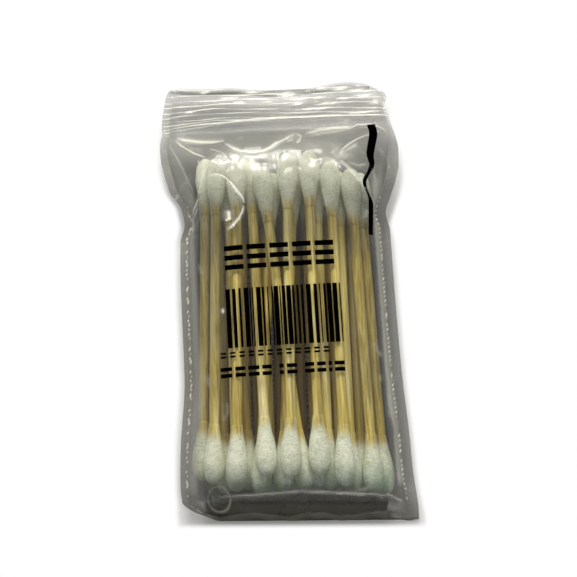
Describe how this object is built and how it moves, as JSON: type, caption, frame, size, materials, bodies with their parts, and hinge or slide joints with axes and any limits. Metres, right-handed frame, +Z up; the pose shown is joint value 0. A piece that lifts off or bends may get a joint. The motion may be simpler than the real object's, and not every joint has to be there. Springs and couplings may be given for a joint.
{
  "type": "bag of cotton swabs",
  "caption": "Clear press-to-close film bag lying flat, holding a bundle of double-ended bamboo cotton swabs.",
  "frame": {"origin": "under the middle of the bag, on the surface that it rests on", "axes": "+X across the bag, +Y along it towards the closure, +Z up"},
  "size_m": [0.0546, 0.1008, 0.0191],
  "materials": {
    "clear_film": "thin clear film, glossy, creased",
    "closure": "translucent extruded strip, glossy",
    "bamboo": "fine long grain, satin",
    "cotton": "wound cotton fibre, matt"
  },
  "bodies": {
    "root": {"bag_film": "clear_film", "zip_rib_strip": "closure", "zip_channel_strip": "closure", "stick_01": "bamboo", "stick_02": "bamboo", "stick_03": "bamboo", "stick_04": "bamboo", "stick_05": "bamboo", "stick_06": "bamboo", "stick_07": "bamboo", "stick_08": "bamboo", "stick_09": "bamboo", "stick_10": "bamboo", "stick_11": "bamboo", "stick_12": "bamboo", "stick_13": "bamboo", "stick_14": "bamboo", "stick_15": "bamboo", "stick_16": "bamboo", "stick_17": "bamboo", "stick_18": "bamboo", "stick_19": "bamboo", "stick_20": "bamboo", "stick_21": "bamboo", "stick_22": "bamboo", "stick_23": "bamboo", "stick_24": "bamboo", "stick_25": "bamboo", "stick_26": "bamboo", "stick_27": "bamboo", "stick_28": "bamboo", "stick_29": "bamboo", "stick_30": "bamboo", "foot_buds_row_1": "cotton", "foot_buds_row_2": "cotton", "foot_buds_row_3": "cotton", "foot_buds_row_4": "cotton", "head_buds_row_1": "cotton", "head_buds_row_2": "cotton", "head_buds_row_3": "cotton", "head_buds_row_4": "cotton"}
  },
  "joints": []
}
